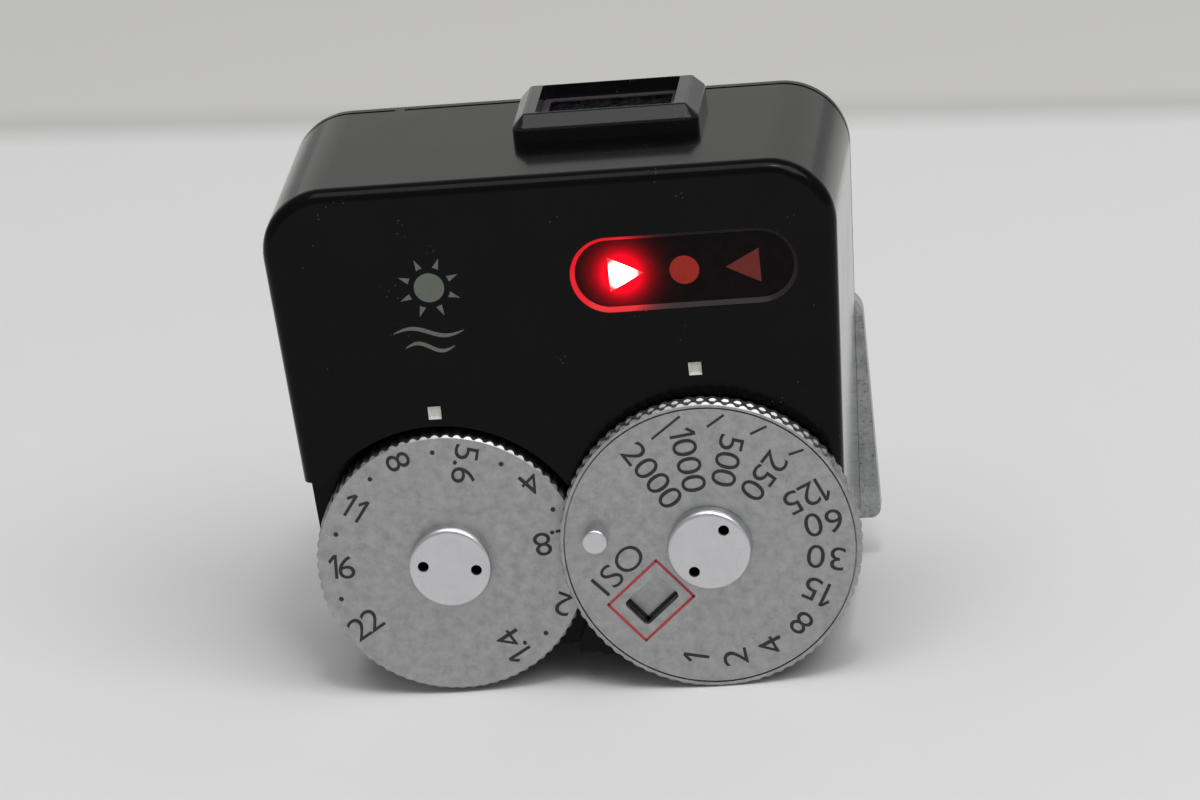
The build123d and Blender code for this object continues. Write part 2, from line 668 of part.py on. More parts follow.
def button_switch():
    """The switch body behind the button, with a bore for its plunger."""
    depth, height = BUTTON_AT
    start = button_inner_face() + BUTTON_TRAVEL + STACK_GAP
    body = block(SWITCH_BODY, (start + SWITCH_BODY[0] / 2, depth, height))
    bore_length = PLUNGER_LENGTH + STACK_GAP
    bore = along_wall(start + bore_length / 2, depth, height)
    return body - bore * Cylinder(PLUNGER_RADIUS + RUNNING_GAP, bore_length)


def battery_holder():
    """The cup that holds the two cells, open towards the back."""
    cup = disc(BATTERY_AT, HOLDER_OUTER, HOLDER_FRONT, SHELL_DEPTH)
    return cup - disc(BATTERY_AT, HOLDER_INNER, HOLDER_FLOOR, SHELL_DEPTH + 1)


def battery_contact():
    """The sprung contact plate on the floor of the cup: a disc with three raised tongues."""
    plate = disc(BATTERY_AT, CONTACT_RADIUS, HOLDER_FLOOR, HOLDER_FLOOR + CONTACT_THICKNESS)
    for angle in range(0, 360, 120):
        place = on_circle(BATTERY_AT, CONTACT_RADIUS * 0.7, angle)
        slot = Pos(*place) * Rot(0, 0, angle) * SlotOverall(2, 0.5)
        plate = plate - slab(slot, HOLDER_FLOOR - 1, HOLDER_FLOOR + 1)
    return plate


def button_cell(start):
    """A round cell with a stepped negative pole towards the front."""
    can = disc(BATTERY_AT, CELL_RADIUS, start + CELL_POLE_STEP, start + CELL_LENGTH)
    ends = can.edges().filter_by_position(Axis.Y, start, start + CELL_LENGTH + 0.01)
    can = chamfer(ends, 0.3)
    return can + disc(BATTERY_AT, CELL_POLE_RADIUS, start, start + CELL_POLE_STEP)


def battery_cap():
    """The round cap of the battery compartment, with a slot for a coin."""
    cap = disc(BATTERY_AT, CAP_DISC_RADIUS, CAP_DISC_INNER, BODY_DEPTH)
    rim = cap.edges().filter_by_position(Axis.Y, BODY_DEPTH - 0.01, BODY_DEPTH + 0.01)
    cap = chamfer(rim, 0.2)
    slot = Pos(*BATTERY_AT) * SlotOverall(COIN_SLOT_LENGTH, COIN_SLOT_WIDTH)
    return cap - slab(slot, BODY_DEPTH - COIN_SLOT_DEPTH, BODY_DEPTH + 1)


def shoe_foot():
    """The foot: a sheet plate with round corners and a tip bent away from the body at its leading end."""
    near = BODY_DEPTH + FOOT_GAP
    far = near + FOOT_SHEET
    knee = FOOT_TOP - FOOT_TIP
    side = [(near, FOOT_BOTTOM), (near, knee), (near + FOOT_TIP_BEND, FOOT_TOP)]
    side += [(far + FOOT_TIP_BEND, FOOT_TOP), (far, knee), (far, FOOT_BOTTOM)]
    profile = make_face(Polyline(*side, close=True))
    plane = Plane(origin=(FOOT_RIGHT - FOOT_WIDTH, 0, 0), x_dir=(0, 1, 0), z_dir=(1, 0, 0))
    plate = extrude(plane * profile, amount=FOOT_WIDTH, dir=(1, 0, 0))
    height = FOOT_TOP - FOOT_BOTTOM
    outline = Rectangle(FOOT_WIDTH, height)
    outline = fillet(outline.vertices().sort_by(Axis.Y)[-2:], FOOT_CORNER)
    outline = fillet(outline.vertices().sort_by(Axis.Y)[:2], FOOT_CORNER / 2)
    middle = (FOOT_MIDDLE, (FOOT_TOP + FOOT_BOTTOM) / 2)
    plate = plate & slab(Pos(*middle) * outline, near - 1, far + 2)
    for z in FOOT_SCREWS:
        plate = plate - foot_screw_space(z, GLUE_GAP)
    return plate


def foot_screw_points(slack):
    """Half the outline of a foot screw in radius and depth."""
    back = BODY_DEPTH + FOOT_GAP + FOOT_SHEET
    head, shank = FOOT_SCREW_HEAD + slack, FOOT_SCREW_SHANK + slack
    return [(0, back), (head, back), (shank, back - head + shank)], shank


def foot_screw_space(z, slack):
    """The countersunk hole of a foot screw."""
    points, shank = foot_screw_points(slack)
    end = BODY_DEPTH
    return lathe((FOOT_MIDDLE, z), points + [(shank, end), (0, end)])


def foot_screws():
    """Two countersunk screws through the foot and its spacer into the nut plate."""
    points, shank = foot_screw_points(0)
    shank -= GLUE_GAP
    end = SHELL_DEPTH - NUT_PLATE[2]
    points = points[:-1] + [(shank, points[-1][1]), (shank, end), (0, end)]
    back = BODY_DEPTH + FOOT_GAP + FOOT_SHEET
    return [lathe((FOOT_MIDDLE, z), points) - cross_cut((FOOT_MIDDLE, z), back) for z in FOOT_SCREWS]


def foot_spacer():
    """The block that keeps the foot off the cover, so that a shoe's rails can pass between them."""
    height = SPACER_TOP - SPACER_BOTTOM
    sketch = Pos(FOOT_MIDDLE, (SPACER_TOP + SPACER_BOTTOM) / 2) * RectangleRounded(SPACER_WIDTH, height, 1)
    for z in FOOT_SCREWS:
        sketch = sketch - Pos(FOOT_MIDDLE, z) * Circle(FOOT_SCREW_SHANK)
    return slab(sketch, BODY_DEPTH, BODY_DEPTH + FOOT_GAP)


def foot_nut_plate():
    """The tapped plate inside the cover that the foot screws pull against."""
    width, height, thickness = NUT_PLATE
    middle_z = sum(FOOT_SCREWS) / len(FOOT_SCREWS)
    sketch = Pos(FOOT_MIDDLE, middle_z) * Rectangle(width, height)
    for z in FOOT_SCREWS:
        sketch = sketch - Pos(FOOT_MIDDLE, z) * Circle(FOOT_SCREW_SHANK)
    return slab(sketch, SHELL_DEPTH - thickness, SHELL_DEPTH)


def all_pieces():
    """Every piece by node name."""
    aperture_wiper_front = RECESS_FLOOR + STACK_GAP
    speed_wiper_front = SPEED_BOSS_BACK + STACK_GAP
    pole = WIPER_THICKNESS + STACK_GAP
    return {
        "front_housing": front_housing(),
        "back_cover": back_cover(),
        "cover_screws": cover_screws(),
        "sensor_frame": sensor_frame(),
        "sensor_lens": sensor_lens(),
        "photocell": photocell(),
        "photocell_board": photocell_board(),
        "led_window": led_window(),
        "low_arrow": lamp_sign(-1),
        "ok_dot": lamp_sign(0),
        "high_arrow": lamp_sign(1),
        "lamp_block": lamp_block(),
        "lamps": lamps(),
        "circuit_board": circuit_board(),
        "board_screws": board_screws(),
        "meter_chip": meter_chip(),
        "trimmers": trimmers(),
        "aperture_index": index_mark(APERTURE_INDEX_AT),
        "speed_index": index_mark(SPEED_INDEX_AT),
        "aperture_dial": aperture_dial(),
        "aperture_cap": hub_cap(APERTURE_AT, APERTURE_FACE, APERTURE_CAP_TURN),
        "aperture_shaft": dial_shaft(APERTURE_AT, APERTURE_FACE, aperture_wiper_front + WIPER_THICKNESS),
        "aperture_wiper": wiper(APERTURE_AT, aperture_wiper_front),
        "aperture_resistor": resistor_track(APERTURE_AT, aperture_wiper_front + pole),
        "aperture_click_spring": leaf_spring(APERTURE_AT, RECESS_DEPTH - 0.3, RECESS_DEPTH, 0.75),
        "speed_ring": speed_ring(),
        "iso_scale_disc": iso_scale_disc(),
        "speed_shaft": dial_shaft(SPEED_AT, RING_FRONT - RUNNING_GAP, speed_wiper_front + WIPER_THICKNESS),
        "speed_cap": hub_cap(SPEED_AT, RING_FRONT - RUNNING_GAP, SPEED_CAP_TURN),
        "speed_wiper": wiper(SPEED_AT, speed_wiper_front),
        "speed_resistor": resistor_track(SPEED_AT, speed_wiper_front + pole),
        "speed_click_spring": leaf_spring(SPEED_AT, -0.2, 0, 0.15),
        "speed_face": speed_face(),
        "iso_post": iso_post(),
        "measuring_button": measuring_button(),
        "switch_plunger": switch_plunger(),
        "button_switch": button_switch(),
        "battery_holder": battery_holder(),
        "battery_contact": battery_contact(),
        "inner_cell": button_cell(CELL_START),
        "outer_cell": button_cell(CELL_START + CELL_LENGTH),
        "battery_cap": battery_cap(),
        "shoe_foot": shoe_foot(),
        "foot_spacer": foot_spacer(),
        "foot_screws": foot_screws(),
        "foot_nut_plate": foot_nut_plate(),
    }


def build():
    """Moves every piece into the row frame and writes it to its own file."""
    os.makedirs("parts", exist_ok=True)
    for name, piece in all_pieces().items():
        solids = piece if isinstance(piece, list) else piece.solids()
        moved = [Pos(*ROW_SHIFT) * solid for one in solids for solid in one.solids()]
        export_step(Compound(children=moved, label=name), os.path.join("parts", name + ".step"))


if __name__ == "__main__":
    build()
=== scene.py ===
import math

import bmesh
import bpy
from mathutils import Matrix, Quaternion, Vector


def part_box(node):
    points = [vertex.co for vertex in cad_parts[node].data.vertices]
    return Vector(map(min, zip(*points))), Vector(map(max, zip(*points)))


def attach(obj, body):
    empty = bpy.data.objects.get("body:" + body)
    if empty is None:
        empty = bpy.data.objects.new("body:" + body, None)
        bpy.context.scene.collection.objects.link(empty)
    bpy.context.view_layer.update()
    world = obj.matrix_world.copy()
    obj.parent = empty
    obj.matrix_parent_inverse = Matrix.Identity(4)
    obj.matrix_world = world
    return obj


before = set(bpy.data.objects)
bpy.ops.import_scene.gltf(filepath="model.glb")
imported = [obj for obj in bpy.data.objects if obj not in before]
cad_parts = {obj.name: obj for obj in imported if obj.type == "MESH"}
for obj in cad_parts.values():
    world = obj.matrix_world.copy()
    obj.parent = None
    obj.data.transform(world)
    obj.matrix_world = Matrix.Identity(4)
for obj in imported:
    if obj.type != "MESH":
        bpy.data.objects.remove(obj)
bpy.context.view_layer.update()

# Sizes are in millimetres and angles in degrees, unless a comment says otherwise. One millimetre in metres:
MM = 0.001
# How far the middle of the thin print stands off the surface that it is on, and how thick it is.
PRINT_LIFT = 0.012
PRINT_THICKNESS = 0.006


# ---------------------------------------------------------------- finishes

DUST = (0.05, 0.05, 0.048)
BODY_BLACK = (0.0016, 0.0012, 0.0016)
BEZEL_BLACK = (0.004, 0.004, 0.0045)
MOULDED_BLACK = (0.018, 0.018, 0.018)
BOARD_GREEN = (0.02, 0.11, 0.05)
DIAL_DARK = (0.33, 0.335, 0.33)
DIAL_LIGHT = (0.47, 0.475, 0.47)
CAP_DARK = (0.63, 0.63, 0.645)
CAP_LIGHT = (0.70, 0.70, 0.715)
CAP_ROUGHNESS = 0.34
CAP_MOTTLE = 2.0
# Black painted into the caps' spanner holes: painted shade.
PAINTED_HOLE_SHADE = (0.006, 0.004, 0.006)
SCREW_DARK = (0.03, 0.03, 0.03)
SCREW_LIGHT = (0.06, 0.06, 0.06)
STEEL = (0.6, 0.6, 0.61)
BRASS = (0.72, 0.52, 0.24)
PLATING = (0.78, 0.78, 0.8)
SILICON = (0.06, 0.07, 0.16)
FOOT_DARK = (0.36, 0.375, 0.37)
FOOT_LIGHT = (0.55, 0.56, 0.55)
FOOT_STAIN = (0.12, 0.12, 0.125)
FOOT_BRIGHT = (0.62, 0.63, 0.63)
LENS_DARK = (0.003, 0.003, 0.004)
LENS_LIGHT = (0.014, 0.014, 0.016)
# The lens's paler top band: a painted highlight.
LENS_TOP_HIGHLIGHT = (0.065, 0.055, 0.062)
WINDOW_DARK = (0.002, 0.0006, 0.001)
WINDOW_LIGHT = (0.006, 0.002, 0.0025)
# The window's bevelled rim, drawn paler: a painted highlight.
WINDOW_RIM_HIGHLIGHT = (0.03, 0.025, 0.026)
LAMP_RED = (1.0, 0.0, 0.012)
LAMP_HOT = (1.0, 0.62, 0.5)
LAMP_STRENGTH = 7.0
LIT_SIGN_DARK = (0.5, 0.05, 0.04)
LIT_SIGN_LIGHT = (0.6, 0.1, 0.08)
DOT_DARK = (0.28, 0.02, 0.012)
DOT_LIGHT = (0.40, 0.035, 0.02)
ARROW_DARK = (0.12, 0.022, 0.018)
ARROW_LIGHT = (0.18, 0.032, 0.026)
INDEX_PALE = (0.62, 0.61, 0.55)
INDEX_WORN = (0.40, 0.39, 0.34)
INK = (0.012, 0.012, 0.013)
INK_WORN = (0.05, 0.05, 0.05)
RED_INK = (0.42, 0.035, 0.045)
RED_INK_WORN = (0.32, 0.06, 0.06)
EMBLEM = (0.115, 0.13, 0.105)
EMBLEM_WORN = (0.085, 0.095, 0.08)
SHEET = (0.80, 0.80, 0.80)
TABLE = (0.67, 0.665, 0.635)

# The caps' spanner holes: how far out and how deep their middles lie, how wide the painted shade in them is,
# and how they are turned.
HOLE_RADIUS = 2.03
HOLE_DEPTH = 0.6
HOLE_REACH = 0.55
LEFT_HOLES_TURN = -7.5
RIGHT_HOLES_TURN = 51.7
# The lit arrow's brightest point is left of its middle, and the brightest point of the red glow painted along
# the window's rim is further left.
LAMP_SHIFT = 0.35
RIM_SHIFT = 1.1


class Finish:
    """A procedural material, built from textures in the object's own space, which is the row frame."""

    def __init__(self, name):
        self.material = bpy.data.materials.new(name)
        self.material.use_nodes = True
        self.tree = self.material.node_tree
        self.shader = self.tree.nodes["Principled BSDF"]
        self.place = self.node("ShaderNodeTexCoord").outputs["Object"]

    def node(self, kind, **settings):
        """A new shader node with the given properties."""
        made = self.tree.nodes.new(kind)
        for key, value in settings.items():
            setattr(made, key, value)
        return made

    def feed(self, socket, value):
        """Links an output to an input, or sets the input to a plain value."""
        if isinstance(value, bpy.types.NodeSocket):
            self.tree.links.new(value, socket)
        else:
            socket.default_value = value

    def set(self, **values):
        """Sets the shader's inputs by name, with underscores for spaces."""
        for key, value in values.items():
            self.feed(self.shader.inputs[key.replace("_", " ")], value)

    def stretched(self, x, y, z):
        """The place with each direction scaled, for streaks."""
        mapping = self.node("ShaderNodeMapping")
        mapping.inputs["Scale"].default_value = (x, y, z)
        self.feed(mapping.inputs["Vector"], self.place)
        return mapping.outputs["Vector"]

    def noise(self, size, detail=4.0, roughness=0.55, place=None):
        """A cloudy pattern from 0 to 1, with features of about the given size."""
        made = self.node("ShaderNodeTexNoise")
        self.feed(made.inputs["Vector"], place or self.place)
        made.inputs["Scale"].default_value = 1 / (size * MM)
        made.inputs["Detail"].default_value = detail
        made.inputs["Roughness"].default_value = roughness
        return made.outputs["Fac"]

    def cells(self, size, randomness=1.0):
        """The distance from the nearest of many scattered middles."""
        made = self.node("ShaderNodeTexVoronoi", feature="F1")
        self.feed(made.inputs["Vector"], self.place)
        made.inputs["Scale"].default_value = 1 / (size * MM)
        made.inputs["Randomness"].default_value = randomness
        return made.outputs["Distance"]

    def spread(self, value, low, high, to_low=0.0, to_high=1.0):
        """Maps a value's range low..high onto to_low..to_high, clamped."""
        made = self.node("ShaderNodeMapRange")
        self.feed(made.inputs["Value"], value)
        made.inputs["From Min"].default_value = low
        made.inputs["From Max"].default_value = high
        made.inputs["To Min"].default_value = to_low
        made.inputs["To Max"].default_value = to_high
        return made.outputs["Result"]

    def blend(self, factor, a, b):
        """The colour a where the factor is 0, and b where it is 1."""
        made = self.node("ShaderNodeMix", data_type="RGBA")
        self.feed(made.inputs[0], factor)
        for socket, value in ((made.inputs[6], a), (made.inputs[7], b)):
            self.feed(socket, (*value, 1.0) if isinstance(value, tuple) else value)
        return made.outputs[2]

    def math(self, operation, a, b=0.0):
        made = self.node("ShaderNodeMath", operation=operation)
        self.feed(made.inputs[0], a)
        self.feed(made.inputs[1], b)
        return made.outputs[0]

    def specks(self, size, share):
        """A mask of small scattered specks, over a share of the surface."""
        grain = self.cells(size)
        where = self.noise(size * 9, detail=2)
        near = self.spread(grain, 0.10, 0.22, 1.0, 0.0)
        return self.math("MULTIPLY", near, self.spread(where, 1 - share, 1.02 - share))

    def bump(self, height, depth, strength):
        """Raises the surface by a height texture, up to a depth."""
        made = self.node("ShaderNodeBump")
        made.inputs["Strength"].default_value = strength
        made.inputs["Distance"].default_value = depth * MM
        self.feed(made.inputs["Height"], height)
        self.feed(self.shader.inputs["Normal"], made.outputs["Normal"])

    def fading(self, distance, full, tenfold):
        """A strength that is 1 at a full distance, and a tenth of that for each tenfold step past it."""
        beyond = self.math("DIVIDE", self.math("SUBTRACT", distance, full), tenfold)
        return self.math("POWER", 0.1, beyond)

    def facing_away(self, flat, tilted):
        """A mask of the faces that don't lie in the front plane, by how far their normal leans."""
        made = self.node("ShaderNodeSeparateXYZ")
        coordinates = self.node("ShaderNodeTexCoord")
        self.feed(made.inputs[0], coordinates.outputs["Normal"])
        return self.spread(self.math("ABSOLUTE", made.outputs["Y"]), flat, tilted)

    def distance_from(self, point):
        """The distance from a point in the row frame, which is in metres."""
        made = self.node("ShaderNodeVectorMath", operation="DISTANCE")
        self.feed(made.inputs[0], self.place)
        made.inputs[1].default_value = point
        return self.math("MULTIPLY", made.outputs["Value"], 1 / MM)


def shaded(colour, factor):
    """A colour made darker or paler by a factor."""
    return tuple(channel * factor for channel in colour)


def plastic(name, colour, roughness_from, roughness_to, dust=0.35, index=1.45, coat=0.0):
    """A fine-textured moulding with faint rubbed patches and a little dust."""
    finish = Finish(name)
    finish.set(IOR=index, Coat_Weight=coat, Coat_IOR=index, Coat_Roughness=0.1)
    patches = finish.noise(5.0, detail=5)
    fine = finish.noise(0.10, detail=3)
    base = finish.blend(finish.spread(patches, 0.35, 0.75), colour, shaded(colour, 1.6))
    base = finish.blend(finish.specks(0.35, dust), base, DUST)
    roughness = finish.math("ADD", finish.spread(patches, 0.3, 0.7, roughness_from, roughness_to),
                            finish.spread(fine, 0.3, 0.7, -0.03, 0.05))
    finish.set(Base_Color=base, Roughness=roughness)
    finish.bump(fine, 0.0015, 0.5)
    return finish.material


def metal_finish(name, dark, light, roughness, mottle=0.9):
    """Satin metal with a mottled, finely grained surface and small dull spots."""
    finish = Finish(name)
    cloud = finish.noise(mottle, detail=6, roughness=0.65)
    fine = finish.noise(0.07, detail=2)
    base = finish.blend(finish.spread(cloud, 0.35, 0.68), dark, light)
    base = finish.blend(finish.math("MULTIPLY", finish.specks(0.3, 0.42), 0.5), base, shaded(dark, 0.55))
    uneven = finish.math("ADD", finish.spread(cloud, 0.3, 0.7, roughness - 0.04, roughness + 0.06),
                         finish.spread(fine, 0.3, 0.7, -0.04, 0.04))
    finish.set(Base_Color=base, Metallic=1.0, Roughness=uneven)
    finish.bump(fine, 0.004, 0.45)
    return finish


def metal(name, dark, light, roughness, mottle=0.9):
    """Plain satin metal."""
    return metal_finish(name, dark, light, roughness, mottle).material


def cap_metal(name, holes):
    """The caps' pale satin metal, whose two spanner holes are painted black with no reflection: painted
    shade.
    """
    finish = metal_finish(name, CAP_DARK, CAP_LIGHT, CAP_ROUGHNESS, CAP_MOTTLE)
    nearest = finish.math("MINIMUM", *(finish.distance_from(hole) for hole in holes))
    # Painted shade: inside the holes the metal turns black, with no metal and no specular reflection.
    hole_shade = finish.spread(nearest, HOLE_REACH, HOLE_REACH + 0.05, 1.0, 0.0)
    unshaded_metal = finish.shader.inputs["Base Color"].links[0].from_socket
    finish.set(Base_Color=finish.blend(hole_shade, unshaded_metal, PAINTED_HOLE_SHADE),
               Metallic=finish.spread(nearest, HOLE_REACH, HOLE_REACH + 0.05),
               Specular_IOR_Level=finish.spread(nearest, HOLE_REACH, HOLE_REACH + 0.05, 0.0, 0.5))
    return finish.material


def brushed(name, colour, roughness, stretch):
    """Metal with fine brush lines along one direction."""
    finish = Finish(name)
    lines = finish.noise(0.5, detail=5, place=finish.stretched(*stretch))
    finish.set(Base_Color=finish.blend(lines, shaded(colour, 0.8), colour), Metallic=1.0,
               Roughness=finish.spread(lines, 0.3, 0.7, roughness - 0.05, roughness + 0.08))
    finish.bump(lines, 0.004, 0.4)
    return finish.material


def worn_metal(name, dark, light, stained, bright):
    """Coated sheet steel, rubbed bright in spots and stained in others."""
    finish = Finish(name)
    cloud = finish.noise(1.4, detail=8, roughness=0.7)
    pits = finish.noise(0.28, detail=5, roughness=0.7)
    base = finish.blend(finish.spread(cloud, 0.38, 0.62), dark, light)
    base = finish.blend(finish.spread(pits, 0.58, 0.68), base, stained)
    base = finish.blend(finish.spread(pits, 0.42, 0.34), base, bright)
    finish.set(Base_Color=base, Metallic=0.4, Roughness=finish.spread(cloud, 0.3, 0.7, 0.42, 0.6))
    finish.bump(pits, 0.015, 0.5)
    return finish.material


def print_ink(name, colour, worn):
    """Filled engraving, slightly uneven."""
    finish = Finish(name)
    patch = finish.noise(0.25, detail=5, roughness=0.7)
    finish.set(Base_Color=finish.blend(finish.spread(patch, 0.5, 0.8), colour, worn),
               Roughness=finish.spread(patch, 0.3, 0.7, 0.45, 0.65))
    finish.bump(patch, 0.004, 0.4)
    return finish.material


def pebbled_lens(name, lens_top):
    """Dark diffusing plastic moulded with a field of low pebbles; a smooth band along its top edge is drawn
    paler as a painted highlight.
    """
    finish = Finish(name)
    pebbles = finish.cells(0.55, randomness=0.55)
    haze = finish.noise(0.8, detail=4)
    height = finish.node("ShaderNodeSeparateXYZ")
    finish.feed(height.inputs[0], finish.place)
    # Painted highlight: the top tenth of a millimetre or so of the lens is smooth and paler.
    top_highlight = finish.spread(height.outputs["Z"], lens_top - 0.12 * MM, lens_top - 0.03 * MM)
    base = finish.blend(finish.spread(haze, 0.35, 0.7), LENS_DARK, LENS_LIGHT)
    finish.set(Base_Color=finish.blend(top_highlight, base, LENS_TOP_HIGHLIGHT), IOR=1.35,
               Roughness=finish.spread(haze, 0.3, 0.7, 0.16, 0.3))
    finish.bump(finish.math("MULTIPLY", finish.spread(pebbles, 0.0, 0.6, 1.0, 0.0),
                            finish.math("SUBTRACT", 1.0, top_highlight)), 0.12, 0.8)
    return finish.material


def glow_window(name, lit_at, rim_lit_at):
    """Dark clear plastic, with a painted red glow near the lit sign and along its bevelled rim, and a painted
    highlight on the rim.
    """
    finish = Finish(name)
    # Painted glow: the window emits red near the lit arrow and along its rim beside it, standing in for the
    # lamp's light spreading in the plastic.
    near = finish.math("MINIMUM", finish.fading(finish.distance_from(lit_at), 1.9, 1.0), 1.5)
    along_rim = finish.math("MINIMUM", finish.fading(finish.distance_from(rim_lit_at), 3.4, 1.1), 0.75)
    # The bevelled rim: drawn paler as a painted highlight, and given part of the painted glow.
    rim = finish.facing_away(0.97, 0.8)
    smudge = finish.noise(0.9, detail=4)
    base = finish.blend(finish.spread(smudge, 0.35, 0.7), WINDOW_DARK, WINDOW_LIGHT)
    glow = finish.math("ADD", finish.math("MULTIPLY", near, 0.9), finish.math("MULTIPLY", along_rim, rim))
    finish.set(Base_Color=finish.blend(rim, base, WINDOW_RIM_HIGHLIGHT), IOR=1.17,
               Roughness=finish.spread(smudge, 0.3, 0.7, 0.12, 0.22),
               Emission_Color=(*LAMP_RED, 1.0), Emission_Strength=glow)
    finish.bump(smudge, 0.006, 0.3)
    return finish.material


def sign(name, dark, light):
    """A red light guide that isn't lit."""
    finish = Finish(name)
    cloud = finish.noise(0.4, detail=4)
    finish.set(Base_Color=finish.blend(cloud, dark, light), IOR=1.2,
               Roughness=finish.spread(cloud, 0.3, 0.7, 0.35, 0.5))
    finish.bump(cloud, 0.004, 0.4)
    return finish.material


def lit_sign(name, middle, strength):
    """A lit light guide: white-hot in the middle and pure red at its corners."""
    finish = Finish(name)
    cloud = finish.noise(0.4, detail=4)
    corner = finish.spread(finish.distance_from(middle), 1.35, 1.75)
    finish.set(Base_Color=finish.blend(cloud, LIT_SIGN_DARK, LIT_SIGN_LIGHT),
               Roughness=finish.spread(cloud, 0.3, 0.7, 0.25, 0.4),
               Emission_Color=finish.blend(corner, LAMP_HOT, LAMP_RED),
               Emission_Strength=finish.spread(corner, 0.0, 1.0, strength, strength * 0.35))
    return finish.material


def floor_finish(name, sheet, table, edge_at, edge_turn):
    """A pale sheet on a slightly darker table, with a soft painted shadow along the sheet's far edge."""
    finish = Finish(name)
    tooth = finish.noise(2.5, detail=5)
    turned = finish.node("ShaderNodeVectorRotate", rotation_type="Z_AXIS")
    finish.feed(turned.inputs["Vector"], finish.place)
    turned.inputs["Center"].default_value = edge_at
    turned.inputs["Angle"].default_value = -edge_turn
    split = finish.node("ShaderNodeSeparateXYZ")
    finish.feed(split.inputs[0], turned.outputs["Vector"])
    beyond = finish.math("MULTIPLY", finish.math("SUBTRACT", split.outputs["Y"], edge_at[1]), 1 / MM)
    # Painted shadow: over its last 7 mm the sheet darkens to a tone below the table's, then eases to the
    # table's tone over 5 mm past the edge.
    base = finish.blend(finish.spread(beyond, -7.0, 0.0), sheet, shaded(table, 0.88))
    base = finish.blend(finish.spread(beyond, 0.0, 5.0), base, table)
    paler = finish.blend(tooth, (0.99, 0.99, 0.99), (1.0, 1.0, 1.0))
    mixed = finish.node("ShaderNodeMix", data_type="RGBA", blend_type="MULTIPLY")
    mixed.inputs[0].default_value = 1.0
    finish.feed(mixed.inputs[6], base)
    finish.feed(mixed.inputs[7], paler)
    finish.set(Base_Color=mixed.outputs[2], Roughness=finish.spread(tooth, 0.3, 0.7, 0.8, 0.95))
    finish.bump(tooth, 0.02, 0.2)
    return finish.material


# ---------------------------------------------------------------- meshes


def add_object(name, data):
    """A new object in the scene."""
    made = bpy.data.objects.new(name, data)
    bpy.context.scene.collection.objects.link(made)
    return made


def new_piece(name, mesh, material, body):
    """A new object that moves with a CAD body."""
    made = add_object(name, mesh)
    made.data.materials.append(material)
    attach(made, body)


def middle_of(node):
    """The middle of a CAD node's box."""
    low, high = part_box(node)
    return (low + high) / 2


class Dial:
    """A dial's front face: turns polar places on it into points in the row frame."""

    def __init__(self, face_node, centre_node):
        centre = middle_of(centre_node)
        self.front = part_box(face_node)[0].y
        self.x, self.z = centre.x, centre.z

    def point(self, radius, angle):
        """A point just off the face, at a radius and an angle anticlockwise from the right."""
        turn = math.radians(angle)
        return Vector((self.x + radius * MM * math.cos(turn), self.front - PRINT_LIFT * MM,
                       self.z + radius * MM * math.sin(turn)))

    def placed(self, radius, angle, reading):
        """The matrix that stands flat print at a place, reading along a direction."""
        turn = math.radians(reading)
        along = Vector((math.cos(turn), 0, math.sin(turn)))
        up = Vector((-math.sin(turn), 0, math.cos(turn)))
        toward = along.cross(up)
        columns = Matrix((along, up, toward)).transposed().to_4x4()
        return Matrix.Translation(self.point(radius, angle)) @ columns


def one_points(height, stroke):
    """The outline of a figure 1 with its flag, about x = 0."""
    foot, top = -height / 2, height / 2
    right = 0.24 * height
    left = right - stroke
    return [(left, foot), (right, foot), (right, top), (left - stroke * 0.1, top),
            (left - 0.23 * height, 0.24 * height), (left - 0.16 * height, 0.24 * height - stroke * 0.9),
            (left, 0.33 * height)]


def letter_mesh(letter, height, stroke):
    """One letter of the built-in font, about x = 0, standing on the line."""
    curve = bpy.data.curves.new("letter", "FONT")
    curve.body = letter
    curve.align_x = "CENTER"
    curve.size = height * MM / FIGURE_HEIGHT
    curve.offset = stroke * MM
    curve.extrude = PRINT_THICKNESS * MM / 2
    curve.resolution_u = 8
    holder = add_object("letter", curve)
    bpy.context.view_layer.update()
    mesh = bpy.data.meshes.new_from_object(holder)
    bpy.data.objects.remove(holder)
    mesh.transform(Matrix.Diagonal((FIGURE_WIDTH, 1, 1, 1)))
    return mesh


def text_mesh(text, height, pitch, stroke):
    """Flat lettering of a given height and pitch, from x = 0 onwards, with y = 0 halfway up."""
    out = bmesh.new()
    cursor = 0.0
    for letter in text:
        step = pitch * NARROW.get(letter, 1.0)
        middle = (cursor + step / 2) * MM
        if letter == "1":
            join_into(out, flat_shape(one_points(height, ONE_STROKE)), Matrix.Translation((middle, 0, 0)))
        else:
            mesh = letter_mesh(letter, height, stroke)
            mesh.transform(Matrix.Translation((middle, -height * MM / 2, 0)))
            out.from_mesh(mesh)
            bpy.data.meshes.remove(mesh)
        cursor += step
    return out


def join_into(target, part, matrix):
    """Adds a transformed copy of one bmesh to another and frees it."""
    bmesh.ops.transform(part, matrix=matrix, verts=part.verts)
    mesh = bpy.data.meshes.new("part")
    part.to_mesh(mesh)
    part.free()
    target.from_mesh(mesh)
    bpy.data.meshes.remove(mesh)


def flat_shape(points):
    """A thin plate with the given outline, in the plane of the print."""
    out = bmesh.new()
    corners = [out.verts.new((x * MM, y * MM, -PRINT_THICKNESS * MM / 2)) for x, y in points]
    face = out.faces.new(corners)
    grown = bmesh.ops.extrude_face_region(out, geom=[face])["geom"]
    lifted = [item for item in grown if isinstance(item, bmesh.types.BMVert)]
    bmesh.ops.translate(out, vec=(0, 0, PRINT_THICKNESS * MM), verts=lifted)
    bmesh.ops.recalc_face_normals(out, faces=out.faces)
    return out


